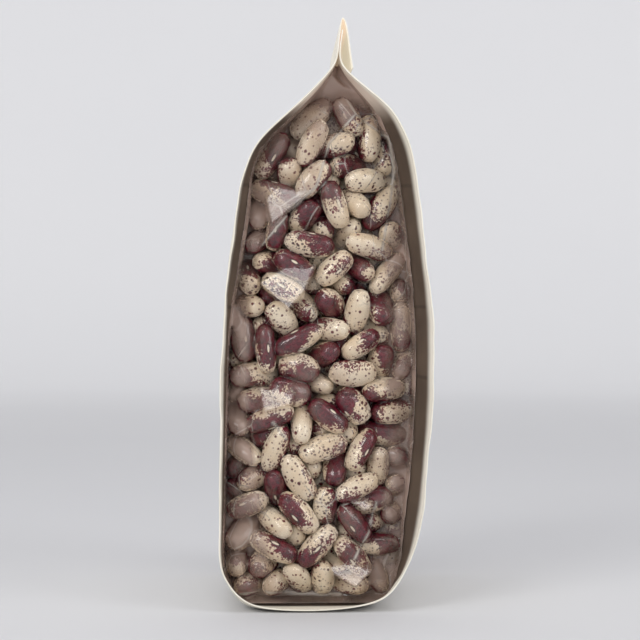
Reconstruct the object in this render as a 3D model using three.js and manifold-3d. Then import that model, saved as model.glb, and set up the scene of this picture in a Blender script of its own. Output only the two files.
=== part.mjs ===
// A stand-up pack of dried mottled beans.
// One sheet of thick cream paper runs down one wide face of the pack, under it and up the other,
// and its two ends are pinched together and folded over at the top. Clear film closes the two
// narrow sides, set back from the paper's edges, and the beans show through it.
// Millimetres, +Z up. The origin is on the surface that the pack stands on, under its middle.
// X runs from one paper face to the other, and Y from one clear side to the other.

import * as THREE from 'three';
import { mergeVertices } from 'three/addons/utils/BufferGeometryUtils.js';
import Module from 'manifold-3d';

const wasm = await Module();
wasm.setup();

// Driving dimensions of the pack
const packHeight = 179;
const halfWidth = 45;
const paperThickness = 0.4;
const gap = 0.4;

// The wide faces bulge between the seams and flare out again towards their rims. The bulge grows
// above the base and fades towards the neck.
const faceBulge = 0.9;
const bulgeRise = { from: 3, to: 30 };
const bulgeFade = { from: 146, to: 166 };
const crownPower = 1.6;
const flarePower = 0.85;
const rimBand = 2.5;

// The beans' weight presses the sheet flat between the two rims of the base
const baseSag = 2.6;
const sagFade = { from: 6, to: 26 };
const sagBorder = 2;

// The film meets the left face nearer to the edge than the right face, and pulls it in further
// between the middle of the pack and its shoulder. The seam moves from one face to the other over a
// stretch of the base and of the neck.
const seamLeft = { y: 37.5, inset: 1.6, upperInset: 4 };
const seamRight = { y: 33, inset: 5.6 };
const seamTurn = 20;
const upperPinch = { from: 84, to: 106 };
const pinchEnd = { from: 118, to: 140 };

// The film stands out between the seams, with a flat part in the middle
const filmThickness = 0.3;
const filmDome = 6;
const filmBottom = 4.6;
const filmTop = 162.5;
const domeFlat = { from: 0.34, to: 0.7 };
const domeFull = { from: 20, to: 140 };
const filmRows = 16;
const filmColumns = 9;

// Beans, by their average, and how much they vary
const bean = { length: 14.4, width: 8.8, thickness: 7.4, bend: 1.5, spread: 0.1, tilt: 0.8 };
const beanSides = 5;
const beanRings = 4;
const rowPitch = 10.1;
const columnPitch = 10.9;
const rowJitter = 3;
const columnJitter = 0.4;
const beanTop = 150.5;
const beanClearance = 1.1;
const seed = 7;

// The core of the heap is a stack of rounded sections, thinly spaced where the pack turns
const heapBottom = 1.1;
const heapTop = 147;
const coreLevels = [heapBottom, 6, 14, 30, 50, 72, 94, 114, 128, 138, heapTop];
const coreSides = 20;
const coreRoundness = 0.42;
const coreDepth = 6.2;
const coreMargin = 1;

// The paper's edge on a clear side, as X and Z, from the flap's free end over the fold, down the
// left face, under the pack and up the right face to the end that is tucked into the fold
const flap = [[7.9, 163.6], [7.2, 168.5], [6.5, 174], [5.75, 178], [4.85, packHeight - 0.2]];
const foldedEnd = [[4.1, 178.2], [3.7, 175], [3.3, 170.5]];
const leftFace = [
  [2.95, 166.6], [1.4, 163.5], [-4.8, 156.9], [-13.8, 148.6], [-19.6, 143.4], [-23.2, 137.8],
  [-25.4, 130.5], [-27.75, 118.2], [-30.2, 101], [-31.5, 78], [-32.3, 46], [-32.6, 18],
  [-31.9, 12.4], [-30.2, 9.3], [-27.9, 5.9], [-24.3, 2.9],
];
const base = [[-19.5, 1.3], [-11, 0.6], [-2, 0.55], [6.3, 1.2], [13.5, 2.5]];
const rightFace = [
  [18.4, 4.6], [22, 9], [25.5, 15.9], [28.6, 27], [30.6, 42], [31.9, 62], [32.1, 82],
  [31.2, 99], [29.1, 116], [27.3, 130], [24.9, 141.5], [21, 149.8], [13.5, 156.75],
  [6.6, 162.2], [4.35, 165.2],
];
const tuckedEnd = [[3.95, 168], [4.4, 171.8], [4.9, 175]];
const outline = [...flap, ...foldedEnd, ...leftFace, ...base, ...rightFace, ...tuckedEnd];
const firstLeft = flap.length + foldedEnd.length;
const firstBase = firstLeft + leftFace.length;
const firstTucked = outline.length - tuckedEnd.length;
const segments = outline.length - 1;
const longSegment = 10;

// Where the search for a face's X ends on the base, in outline points after the base's first
const leftEnd = 0.5;
const rightEnd = 3.5;
const searchSteps = 26;

const { clamp, lerp, smoothstep } = THREE.MathUtils;
const edgeCurve = new THREE.CatmullRomCurve3(
  outline.map(([x, z]) => new THREE.Vector3(x, 0, z)), false, 'centripetal');

// 0 below a range, 1 above it and smooth between
function rise(value, range) {
  return smoothstep(value, range.from, range.to);
}

// A repeatable random draw between 0 and 1
function drawer(state) {
  return () => {
    state = (state + 0x6d2b79f5) | 0;
    let t = Math.imul(state ^ (state >>> 15), 1 | state);
    t = (t + Math.imul(t ^ (t >>> 7), 61 | t)) ^ t;
    return ((t ^ (t >>> 14)) >>> 0) / 4294967296;
  };
}

// The Y of the seam, and how far it is pinched in, beside a point of the edge curve
function seamAt(point) {
  const side = smoothstep(point.x, -seamTurn, seamTurn);
  const pinch = rise(point.z, upperPinch) * (1 - rise(point.z, pinchEnd));
  const leftInset = lerp(seamLeft.inset, seamLeft.upperInset, pinch);
  return {
    y: lerp(seamLeft.y, seamRight.y, side),
    inset: lerp(leftInset, seamRight.inset, side),
  };
}

// A point of the paper's outer surface: t runs along the edge curve, y across the pack
function paperPoint(t, y) {
  const point = edgeCurve.getPoint(t);
  const along = edgeCurve.getTangent(t);
  const outward = new THREE.Vector3(along.z, 0, -along.x);
  const seam = seamAt(point);
  const reach = Math.abs(y);
  const onFace = rise(point.z, bulgeRise) * (1 - rise(point.z, bulgeFade));
  let offset;
  if (reach > seam.y) {
    const flare = (reach - seam.y) / (halfWidth - seam.y);
    offset = -seam.inset * (1 - flare ** flarePower);
  } else {
    const crown = Math.cos((Math.PI / 2) * (reach / seam.y) ** crownPower);
    offset = lerp(-seam.inset, faceBulge, crown);
  }
  point.addScaledVector(outward, offset * onFace);
  const nearBase = 1 - rise(point.z, sagFade);
  const inMiddle = 1 - smoothstep(reach, seam.y - sagBorder, halfWidth);
  point.z = Math.max(point.z - baseSag * nearBase * inMiddle, 0);
  point.y = y;
  return point;
}

// A closed sheet from a grid of surface points: the outer skin is the surface itself, the inner
// skin lies a thickness behind it, and the four edges are closed.
function sheet(grid, thickness) {
  const rows = grid.length;
  const columns = grid[0].length;
  const at = (i, j) => grid[clamp(i, 0, rows - 1)][clamp(j, 0, columns - 1)];
  const positions = [];
  for (const depth of [0, -thickness]) {
    for (let i = 0; i < rows; i += 1) {
      for (let j = 0; j < columns; j += 1) {
        const down = at(i + 1, j).clone().sub(at(i - 1, j));
        const across = at(i, j + 1).clone().sub(at(i, j - 1));
        const normal = across.cross(down).normalize();
        const point = at(i, j).clone().addScaledVector(normal, depth);
        positions.push(point.x, point.y, point.z);
      }
    }
  }
  const index = [];
  const quad = (a, b, c, d) => index.push(a, b, c, a, c, d);
  const back = rows * columns;
  for (let i = 0; i < rows - 1; i += 1) {
    for (let j = 0; j < columns - 1; j += 1) {
      const a = i * columns + j;
      const b = a + columns;
      quad(a, a + 1, b + 1, b);
      quad(back + a, back + b, back + b + 1, back + a + 1);
    }
  }
  for (let i = 0; i < rows - 1; i += 1) {
    for (const [j, turned] of [[0, false], [columns - 1, true]]) {
      const a = i * columns + j;
      const b = a + columns;
      if (turned) quad(a, back + a, back + b, b);
      else quad(a, b, back + b, back + a);
    }
  }
  for (let j = 0; j < columns - 1; j += 1) {
    for (const [i, turned] of [[0, true], [rows - 1, false]]) {
      const a = i * columns + j;
      const b = a + 1;
      if (turned) quad(a, back + a, back + b, b);
      else quad(a, b, back + b, back + a);
    }
  }
  const geometry = new THREE.BufferGeometry();
  geometry.setAttribute('position', new THREE.Float32BufferAttribute(positions, 3));
  geometry.setIndex(index);
  return geometry;
}

// The paper, with a step at each outline point and one more in each long stretch
function paperGeometry() {
  const steps = [];
  for (let i = 0; i < segments; i += 1) {
    steps.push(i / segments);
    const [a, b] = [outline[i], outline[i + 1]];
    if (Math.hypot(a[0] - b[0], a[1] - b[1]) > longSegment) steps.push((i + 0.5) / segments);
  }
  steps.push(1);
  const shares = [0, 0.35, 0.7, 1];
  const grid = steps.map((t) => {
    const seam = seamAt(edgeCurve.getPoint(t)).y;
    const inner = shares.map((share) => share * seam);
    const half = [...inner, lerp(seam, halfWidth, 0.5), halfWidth - rimBand, halfWidth];
    const across = [...half.slice(1).reverse().map((y) => -y), ...half];
    return across.map((y) => paperPoint(t, y));
  });
  return sheet(grid, paperThickness);
}

// The X of the paper's inner skin at a height z and a distance y from the middle
function wallX(side, z, y) {
  let [low, high] = side < 0
    ? [firstLeft / segments, (firstBase + leftEnd) / segments]
    : [(firstTucked - 1) / segments, (firstBase + rightEnd) / segments];
  for (let step = 0; step < searchSteps; step += 1) {
    const middle = (low + high) / 2;
    if (paperPoint(middle, y).z > z) low = middle;
    else high = middle;
  }
  return paperPoint(low, y).x - side * paperThickness;
}

// The X up to which something can reach towards a face and stay clear of its slope
function clearX(side, z, y) {
  const [above, below] = [wallX(side, z + 2 * gap, y), wallX(side, z - 2 * gap, y)];
  return (side < 0 ? Math.max(above, below) : Math.min(above, below)) - side * gap;
}

// How far out the film lies at a point of the clear side
function filmDepth(x, z) {
  const left = wallX(-1, z, seamLeft.y);
  const right = wallX(1, z, seamRight.y);
  const share = clamp((x - left) / (right - left), 0, 1);
  const edge = lerp(seamLeft.y, seamRight.y, share);
  const plateau = smoothstep(share, 0, domeFlat.from) * (1 - smoothstep(share, domeFlat.to, 1));
  const upright = smoothstep(z, filmBottom, domeFull.from)
    * (1 - smoothstep(z, domeFull.to, filmTop));
  return edge + filmDome * plateau * upright;
}

// One film side: facing is -1 for the near side and 1 for the far side
function filmGeometry(facing) {
  const grid = [];
  for (let i = 0; i <= filmRows; i += 1) {
    const z = lerp(filmTop, filmBottom, i / filmRows);
    const row = [];
    for (let j = 0; j <= filmColumns; j += 1) {
      const share = j / filmColumns;
      const x = lerp(clearX(-1, z, seamLeft.y), clearX(1, z, seamRight.y), share);
      row.push(new THREE.Vector3(x, facing * filmDepth(x, z), z));
    }
    if (facing > 0) row.reverse();
    grid.push(row);
  }
  return sheet(grid, filmThickness);
}

// A kidney-shaped bean, lying along Z with its thin way along Y and its hollow side towards -X
function beanGeometry(size) {
  const geometry = new THREE.SphereGeometry(1, beanSides, beanRings);
  geometry.rotateX(Math.PI / 2);
  const position = geometry.attributes.position;
  for (let i = 0; i < position.count; i += 1) {
    const z = position.getZ(i);
    position.setXYZ(
      i,
      position.getX(i) * size.width / 2 - size.bend * (z * z - 1 / 3),
      position.getY(i) * size.thickness / 2,
      z * size.length / 2,
    );
  }
  return geometry;
}

function toSolid(geometry) {
  const bare = geometry.clone();
  bare.deleteAttribute('normal');
  bare.deleteAttribute('uv');
  const merged = mergeVertices(bare, 1e-4);
  return new wasm.Manifold(new wasm.Mesh({
    numProp: 3,
    vertProperties: new Float32Array(merged.attributes.position.array),
    triVerts: new Uint32Array(merged.index.array),
  }));
}

function toGeometry(solid) {
  const mesh = solid.getMesh();
  const geometry = new THREE.BufferGeometry();
  geometry.setAttribute('position', new THREE.Float32BufferAttribute(mesh.vertProperties, 3));
  geometry.setIndex(new THREE.Uint32BufferAttribute(mesh.triVerts, 1));
  return geometry;
}

// The hidden mass of the heap, from rounded sections stacked up the pack
function coreGeometry() {
  const inner = seamRight.y - coreDepth + coreMargin;
  const positions = [];
  const index = [];
  for (const z of coreLevels) {
    for (let k = 0; k < coreSides; k += 1) {
      const angle = (2 * Math.PI * (k + 0.5)) / coreSides;
      const [a, b] = [Math.cos(angle), Math.sin(angle)]
        .map((value) => Math.sign(value) * Math.abs(value) ** coreRoundness);
      const left = clearX(-1, z, b * inner) + coreMargin;
      const right = clearX(1, z, b * inner) - coreMargin;
      const x = lerp(left, right, (a + 1) / 2);
      positions.push(x, b * (filmDepth(x, z) - coreDepth), z);
    }
  }
  positions.push(0, 0, heapBottom, 0, 0, heapTop);
  const lastLevel = coreLevels.length - 1;
  const bottomHub = coreLevels.length * coreSides;
  const topHub = bottomHub + 1;
  for (let k = 0; k < coreSides; k += 1) {
    const next = (k + 1) % coreSides;
    for (let level = 0; level < lastLevel; level += 1) {
      const [a, b] = [level * coreSides + k, level * coreSides + next];
      index.push(a, b, b + coreSides, a, b + coreSides, a + coreSides);
    }
    index.push(bottomHub, next, k);
    index.push(topHub, lastLevel * coreSides + k, lastLevel * coreSides + next);
  }
  const geometry = new THREE.BufferGeometry();
  geometry.setAttribute('position', new THREE.Float32BufferAttribute(positions, 3));
  geometry.setIndex(index);
  return geometry;
}

// The corners of a geometry, as points
function corners(geometry) {
  const position = geometry.attributes.position;
  return Array.from({ length: position.count }, (_, i) =>
    new THREE.Vector3().fromBufferAttribute(position, i));
}

// One bean laid against the film at a point of a clear side, and moved clear of film and paper
function placedBean(facing, x, z, draw) {
  const vary = () => 1 + bean.spread * (2 * draw() - 1);
  const geometry = beanGeometry({
    length: bean.length * vary(),
    width: bean.width * vary(),
    thickness: bean.thickness * vary(),
    bend: bean.bend * vary(),
  });
  const turn = new THREE.Euler(
    bean.tilt * (draw() - 0.5), 2 * Math.PI * draw(), bean.tilt * (draw() - 0.5), 'YXZ');
  geometry.applyMatrix4(new THREE.Matrix4().makeRotationFromEuler(turn));
  geometry.computeBoundingBox();
  geometry.translate(x, 0, Math.max(z, heapBottom - geometry.boundingBox.min.z));
  const reach = Math.min(...corners(geometry).map((point) =>
    filmDepth(point.x, point.z) - facing * point.y));
  geometry.translate(0, facing * (reach - beanClearance), 0);
  for (const side of [-1, 1]) {
    const room = Math.min(...corners(geometry).map((point) =>
      side * (clearX(side, point.z, point.y) - point.x)));
    geometry.translate(side * Math.min(room, 0), 0, 0);
  }
  return geometry;
}

// The heap: the core with a layer of whole beans fused to each side that shows
function heapGeometry() {
  const draw = drawer(seed);
  let heap = toSolid(coreGeometry());
  for (const facing of [-1, 1]) {
    const rows = Math.round((beanTop - heapBottom - bean.thickness) / rowPitch);
    for (let row = 0; row <= rows; row += 1) {
      const z = lerp(heapBottom + bean.thickness / 2, beanTop, row / rows);
      const left = wallX(-1, z, seamLeft.y) + bean.width / 2;
      const right = wallX(1, z, seamRight.y) - bean.width / 2;
      const count = Math.max(1, Math.round((right - left) / columnPitch) + (row % 2));
      for (let k = 0; k < count; k += 1) {
        const x = lerp(left, right, (k + 0.5 + columnJitter * (draw() - 0.5)) / count);
        heap = heap.add(toSolid(placedBean(facing, x, z + rowJitter * (draw() - 0.5), draw)));
      }
    }
  }
  const pieces = heap.decompose();
  pieces.sort((a, b) => b.volume() - a.volume());
  return toGeometry(pieces[0]);
}

function part(name, geometry, material) {
  const mesh = new THREE.Mesh(geometry, new THREE.MeshStandardMaterial(material));
  mesh.name = name;
  return mesh;
}

const clear = { color: '#e8e6e1', roughness: 0.12, transparent: true, opacity: 0.25 };
const pack = new THREE.Group();
pack.name = 'bean_pack';
pack.add(part('paper_wrap', paperGeometry(), { color: '#efe9da', roughness: 0.8, metalness: 0 }));
pack.add(part('bean_heap', heapGeometry(), { color: '#a98274', roughness: 0.45, metalness: 0 }));
pack.add(part('film_near', filmGeometry(-1), clear));
pack.add(part('film_far', filmGeometry(1), clear));

export default pack;
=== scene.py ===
# %% [markdown]
# # A stand-up pack of dried mottled beans
#
# The pack is one sheet of thick cream paper that runs down one wide face, under the pack and up
# the other, with its two ends folded over together at the top. Thin clear film closes the two
# narrow sides, and the beans show through it.
#
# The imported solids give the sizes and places. This script measures them, and builds the fine
# paper, the film and every bean that shows in the same place. It works in metres for Blender, and
# in millimetres wherever beans are packed, because those numbers are easier to read.

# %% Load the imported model
import math

import bmesh
import bpy
import numpy as np
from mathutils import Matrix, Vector
from mathutils.bvhtree import BVHTree


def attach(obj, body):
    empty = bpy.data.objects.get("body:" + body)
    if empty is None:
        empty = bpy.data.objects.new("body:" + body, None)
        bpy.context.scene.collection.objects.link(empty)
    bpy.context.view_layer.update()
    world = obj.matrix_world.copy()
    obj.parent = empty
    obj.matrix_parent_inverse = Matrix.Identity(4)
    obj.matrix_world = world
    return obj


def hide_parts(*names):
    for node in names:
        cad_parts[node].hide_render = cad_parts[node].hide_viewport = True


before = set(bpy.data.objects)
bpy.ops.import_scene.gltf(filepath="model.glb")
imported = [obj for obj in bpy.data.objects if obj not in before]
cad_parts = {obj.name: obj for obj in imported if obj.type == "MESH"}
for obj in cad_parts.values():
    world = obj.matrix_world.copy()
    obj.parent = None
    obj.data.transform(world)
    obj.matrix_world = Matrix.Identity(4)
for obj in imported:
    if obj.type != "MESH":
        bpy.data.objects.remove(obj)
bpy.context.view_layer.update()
MM = 0.001
NEAR = -1
FAR = 1
print("packed nodes:", sorted(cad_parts))

# %% [markdown]
# ## Helpers
#
# Most operators act on everything that is selected, so each step first selects only the piece that
# it works on. Modifiers are applied at once, so that the mesh is final. Where a rule moves points,
# as between the beans, the points are read into an array, moved there and written back.


# %% Helpers for selecting, for modifiers and for points
def only(piece):
    """Selects one object, and makes it the active one."""
    bpy.ops.object.select_all(action="DESELECT")
    piece.select_set(True)
    bpy.context.view_layer.objects.active = piece
    return piece


def apply_modifier(piece, kind, **settings):
    """Adds a modifier with its settings, and applies it to the mesh."""
    only(piece)
    modifier = piece.modifiers.new(kind.lower(), kind)
    for name, value in settings.items():
        setattr(modifier, name, value)
    bpy.ops.object.modifier_apply(modifier=modifier.name)


def points_of(mesh):
    """The vertices of a mesh as an array, in millimetres."""
    flat = np.empty(len(mesh.vertices) * 3)
    mesh.vertices.foreach_get("co", flat)
    return flat.reshape(-1, 3) / MM


def set_points(mesh, points):
    """Moves the vertices of a mesh to an array of points in millimetres."""
    mesh.vertices.foreach_set("co", (points * MM).ravel())
    mesh.update()


def add_attribute(mesh, name, values):
    """Stores a number or a vector for each vertex, for a material to read."""
    values = np.asarray(values, np.float32)
    kind, field = ("FLOAT", "value") if values.ndim == 1 else ("FLOAT_VECTOR", "vector")
    attribute = mesh.attributes.new(name, kind, "POINT")
    attribute.data.foreach_set(field, values.ravel())


print("points of the packed paper:", len(points_of(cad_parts["paper_wrap"].data)))

# %% [markdown]
# ## The room inside the pack
#
# The beans fill the space between the two paper faces and the film. A ray sent from the middle of
# the pack finds the paper or the film at any height. Many rays give a table, and reading between
# the table's points is much faster than a ray for each question.

# %% A table that can be read between its points
ALMOST_ONE = 1.001


class Table:
    """Values on an even grid, with values between the points read by straight lines."""

    def __init__(self, across, up, values):
        self.start = (across[0], up[0])
        self.step = (across[1] - across[0], up[1] - up[0])
        self.values = values

    def __call__(self, across, up):
        last = [n - ALMOST_ONE for n in self.values.shape]
        a = np.clip((across - self.start[0]) / self.step[0], 0, last[0])
        b = np.clip((up - self.start[1]) / self.step[1], 0, last[1])
        i, j = a.astype(int), b.astype(int)
        s, t = a - i, b - j
        v = self.values
        low = v[i, j] * (1 - s) + v[i + 1, j] * s
        high = v[i, j + 1] * (1 - s) + v[i + 1, j + 1] * s
        return low * (1 - t) + high * t


def tree_of(mesh):
    """A search tree of a mesh, for rays."""
    corners = [v.co for v in mesh.vertices]
    return BVHTree.FromPolygons(corners, [p.vertices for p in mesh.polygons])


def ray(tree, start, way):
    """Where a ray from a point in millimetres first meets the tree's mesh, or None."""
    hit = tree.ray_cast(Vector(start) * MM, Vector(way))[0]
    return None if hit is None else np.array(hit) / MM


paper_tree = tree_of(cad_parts["paper_wrap"].data)
print("a ray straight down meets the paper at", ray(paper_tree, (0, 0, 20), (0, 0, -1)))

# %% [markdown]
# Rays to the left and right measure the paper at each distance from the middle, and rays to the
# front and back measure the film. Where the pack narrows to its neck some rays miss the film, and
# the values beside them are carried on.

# %% Measure the paper and the film
NECK_X = 3.4
NECK_FILM = 34.0
HEIGHTS = np.arange(1.4, 166.7, 1.4)
DEPTHS = np.arange(-44.0, 44.1, 2.0)
WIDTHS = np.arange(-32.0, 30.1, 1.0)


def face_table(side):
    """The X of the paper's inner side, for a distance from the middle and a height."""
    rows = []
    for y in DEPTHS:
        hits = [ray(paper_tree, (NECK_X, y, z), (side, 0, 0)) for z in HEIGHTS]
        rows.append([NECK_X if hit is None else hit[0] for hit in hits])
    return Table(DEPTHS, HEIGHTS, np.array(rows))


def film_table(node, facing):
    """How far out the film lies, for an X and a height."""
    tree = tree_of(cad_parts[node].data)
    columns = []
    for z in HEIGHTS:
        hits = [ray(tree, (x, 0, z), (0, facing, 0)) for x in WIDTHS]
        known = [(x, abs(hit[1])) for x, hit in zip(WIDTHS, hits) if hit is not None]
        known = known or [(NECK_X, columns[-1].max() if columns else NECK_FILM)]
        columns.append(np.interp(WIDTHS, *zip(*known)))
    return Table(WIDTHS, HEIGHTS, np.array(columns).T)


left_face, right_face = face_table(-1), face_table(1)
film_at = {NEAR: film_table("film_near", NEAR), FAR: film_table("film_far", FAR)}
half_way = np.array([0.0]), np.array([80.0])
print("inside width at half height:", right_face(*half_way) - left_face(*half_way))
print("film distance at half height:", film_at[NEAR](*half_way), film_at[FAR](*half_way))

# %% [markdown]
# ## One bean
#
# A kidney bean is a blunt, slightly flattened oval with one hollow side. A UV sphere would do, but
# its poles crowd faces at the tips. A cube smoothed by a Subdivision Surface gives an even net, and
# a Cast modifier makes a ball of it. There are hundreds of beans, so each has only 96 faces.
# Stretched to the bean's size a ball would have pointed ends, so the ends are widened a little.
# A Simple Deform with the axis Z then bends the length, which lies along X, towards +Y, and a
# quarter turn brings the hollow side up to +Z. The bean is modelled once, and every bean of the
# pack is a copy with its own size.

# %% Model the bean
BEAN_LENGTH = 14.6
BEAN_THICKNESS = 7.3
BEAN_WIDTH = 8.1
BEAN_BEND = math.radians(42)
BEAN_LEVELS = 2
BLUNT_ENDS = 0.5
BLUNT_POWER = 4

bpy.ops.object.select_all(action="DESELECT")
bpy.ops.mesh.primitive_cube_add(size=1)
bean = bpy.context.object
bean.name = "bean_pattern"
apply_modifier(bean, "SUBSURF", levels=BEAN_LEVELS)
apply_modifier(bean, "CAST", factor=1.0, use_radius_as_size=True)
bean_size = np.array([BEAN_LENGTH, BEAN_WIDTH, BEAN_THICKNESS])
ball = points_of(bean.data)
ball /= np.abs(ball).max()
ball[:, 1:] *= 1 + BLUNT_ENDS * ball[:, :1] ** BLUNT_POWER
set_points(bean.data, ball * bean_size / 2)
apply_modifier(bean, "SIMPLE_DEFORM", deform_method="BEND", deform_axis="Z", angle=BEAN_BEND)
bean.rotation_euler.x = math.radians(90)
bpy.ops.object.transform_apply(rotation=True)
bean_points = points_of(bean.data)
bean_faces = np.array([p.vertices[:] for p in bean.data.polygons])
hollow_rise = bean_points[np.abs(bean_points[:, 0]).argmax(), 2]
print("one bean:", len(bean_faces), "faces, size in mm", np.ptp(bean_points, axis=0).round(1))
print("its ends lie", round(hollow_rise, 1), "mm towards the hollow side")
bpy.data.objects.remove(bean)

# %% [markdown]
# ## Packing the beans
#
# Beans poured into a pack settle until they hold each other. That can be done with rigid bodies,
# but a few hundred bent beans take Blender long to settle. Here each bean is five balls on a bent
# line. In every small step all beans drop a little, balls that overlap are pushed apart, balls
# outside the paper or the film are pushed back, and then each bean takes the place and turn that
# fit its five balls best. The beans start small and loose and grow to their real size, so they end
# up wedged together as they are in the pack.
#
# First comes the film, which is the beans' front wall. At the neck it folds inwards along a middle
# line, as a gusset does.

# %% Say how far out the film lets a bean reach
NOTCH_FROM = 154.0
NOTCH_TO = 163.0
APEX_X = 9.0
FOLD_DEPTH = 5.0


def film_limit(facing, x, z):
    """How far out the film lets something reach, for an X and a height."""
    rise = np.clip((z - NOTCH_FROM) / (NOTCH_TO - NOTCH_FROM), 0, 1)
    middle = APEX_X + (NECK_X - APEX_X) * rise
    half = 0.5 * (right_face(0 * x, z) - left_face(0 * x, z)) + 0.5
    fold = FOLD_DEPTH * rise * np.clip(1 - np.abs(x - middle) / half, 0, 1)
    return film_at[facing](x, z) - fold


neck_top = np.array([NECK_X]), np.array([NOTCH_TO])
print("the film's reach at half height:", film_limit(NEAR, *half_way))
print("the film's reach in the neck:", film_limit(NEAR, *neck_top))

# %% [markdown]
# Two moves are done to all beans at once, with arrays, because a loop over every pair would take
# minutes. Pushing apart moves the balls of touching beans. Fitting a turn finds the rotation that
# brings a bean's own shape nearest to its moved balls, with a singular value decomposition.

# %% Turn beans, fit their turns and push them apart
BALLS = np.linspace(-1, 1, 5)
BALL_RADIUS = np.array([3.3, 3.75, 3.85, 3.75, 3.3])
BALL_REACH = BEAN_LENGTH / 2 - 3.3
FIRMNESS = 2.2


def turned(turns, shapes):
    """Each bean's shape turned by its own matrix."""
    return np.einsum("nij,nkj->nki", turns, shapes)


def fit_turns(offsets, shapes):
    """The turn that brings each shape nearest to its moved balls."""
    u, _, v = np.linalg.svd(np.einsum("nki,nkj->nij", offsets, shapes))
    u[:, :, 2] *= np.sign(np.linalg.det(u) * np.linalg.det(v))[:, None]
    return u @ v


def push_apart(balls, radius, pairs):
    """Moves balls of neighbouring beans apart where they overlap."""
    a, b = pairs
    away = balls[a][:, :, None] - balls[b][:, None]
    length = np.linalg.norm(away, axis=3) + 1e-9
    overlap = radius[a][:, :, None] + radius[b][:, None] - length
    touching = overlap > 0
    push = away * (np.where(touching, 0.5 * overlap, 0) / length)[..., None]
    shift = np.zeros_like(balls)
    touches = np.zeros(balls.shape[:2])
    np.add.at(shift, a, push.sum(2))
    np.add.at(shift, b, -push.sum(1))
    np.add.at(touches, a, touching.sum(2))
    np.add.at(touches, b, touching.sum(1))
    return balls + FIRMNESS * shift / np.maximum(touches, 1)[..., None]


print("a bean's balls lie at", (BALLS * BALL_REACH).round(1), "mm along it")

# %% [markdown]
# The walls hold the beans in. The floor, the film and the back of the layer only limit one
# coordinate. The paper faces lean, so a ball needs more room sideways there.

# %% Keep the beans inside the pack
SLAB = 18.5
FLOOR_Z = 3.2
BEANS_TOP = 156.0
PAPER_GAP = 0.4
FILM_GAP = 0.3


def keep_inside(balls, radius, facing):
    """Moves balls back inside the paper, the film, the floor and the beans behind."""
    x, y, z = (balls[..., k] for k in range(3))
    z = np.clip(z, FLOOR_Z + radius, BEANS_TOP - radius)
    limit = film_limit(facing, x, z)
    depth = np.clip(facing * y, limit - SLAB + radius, limit - radius - FILM_GAP)
    y = facing * depth
    for side, face in ((-1, left_face), (1, right_face)):
        lean = 0.5 * (face(y, z + 1) - face(y, z - 1))
        room = (radius + PAPER_GAP) * np.sqrt(1 + lean**2)
        x = side * np.minimum(side * x, side * face(y, z) - room)
    return np.stack([x, y, z], axis=2)


far_out = keep_inside(np.full((1, 1, 3), 99.0), 3.3, FAR)
print("a ball from far outside comes back to", far_out.ravel().round(1))

# %% [markdown]
# Every bean starts at its own height, at a random place and turn, at a fraction of its size. A
# little shaking helps them to find gaps. It calms down before the end, so that they come to rest.

# %% Settle one layer of beans behind a film side
SIZE_SPREAD = 0.12
START_LOW = 8
START_SPAN = 142
START_INSET = 4
START_SIZE = 0.4
GROWN_BY = 0.5
CALM_BY = 0.7
CARRY_ON = 0.8
SHAKE = 0.25
SINK = 0.02
LEAN = 0.02
NEIGHBOUR_REACH = 16.5
ROUNDS = 5


def started(facing, count, draw):
    """The sizes, five-ball shapes, ball sizes and first ball places of a layer of beans."""
    sizes = 1 + SIZE_SPREAD * draw.uniform(-1, 1, (count, 3))
    shapes = np.zeros((count, len(BALLS), 3))
    shapes[..., 0] = BALLS * BALL_REACH * sizes[:, :1]
    shapes[..., 2] = shapes[..., 0] ** 2 * BEAN_BEND / (2 * BEAN_LENGTH)
    shapes -= shapes.mean(axis=1, keepdims=True)
    girth = sizes[:, 1:].mean(axis=1)
    radius = BALL_RADIUS * girth[:, None]
    z = START_LOW + START_SPAN * (np.arange(count) + 0.5) / count
    back = draw.uniform(START_INSET, SLAB - START_INSET, count)
    y = facing * (film_limit(facing, np.full(count, APEX_X), z) - back)
    x = left_face(y, z) + (right_face(y, z) - left_face(y, z)) * draw.uniform(0.1, 0.9, count)
    turns = np.linalg.qr(draw.normal(size=(count, 3, 3)))[0]
    turns *= np.linalg.det(turns)[:, None, None]
    balls = np.stack([x, y, z], axis=1)[:, None] + turned(turns, START_SIZE * shapes)
    return sizes, shapes, radius, balls


def settle(facing, count, seed, steps):
    """Places beans behind one film side: their sizes, turns and centres."""
    draw = np.random.default_rng(seed)
    sizes, shapes, radius, balls = started(facing, count, draw)
    before = balls.copy()
    for step in range(steps):
        grown = min(1.0, START_SIZE + (1 - START_SIZE) * step / (GROWN_BY * steps))
        calm = max(0.0, 1 - step / (CALM_BY * steps))
        moved = balls + CARRY_ON * (balls - before) * (calm > 0)
        moved[..., 2] -= SINK * (calm > 0)
        moved[..., 1] += facing * LEAN * (calm > 0)
        moved += SHAKE * calm * draw.normal(size=(count, 1, 3))
        before = balls
        centres = moved.mean(axis=1)
        gap = np.linalg.norm(centres[:, None] - centres[None], axis=2)
        pairs = np.nonzero(np.triu(gap < NEIGHBOUR_REACH, 1))
        for _ in range(ROUNDS):
            moved = push_apart(moved, radius * grown, pairs)
            moved = keep_inside(moved, radius * grown, facing)
            centres = moved.mean(axis=1)
            turns = fit_turns(moved - centres[:, None], shapes)
            moved = centres[:, None] + turned(turns, grown * shapes)
        balls = moved
    away = np.linalg.norm(moved[pairs[0]][:, :, None] - moved[pairs[1]][:, None], axis=3)
    overlap = radius[pairs[0]][:, :, None] + radius[pairs[1]][:, None] - away
    mean_overlap = overlap[overlap > 0].mean()
    print("deepest overlap", round(overlap.max(), 2), "mm, mean", round(mean_overlap, 2))
    return sizes, turns, centres


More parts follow.
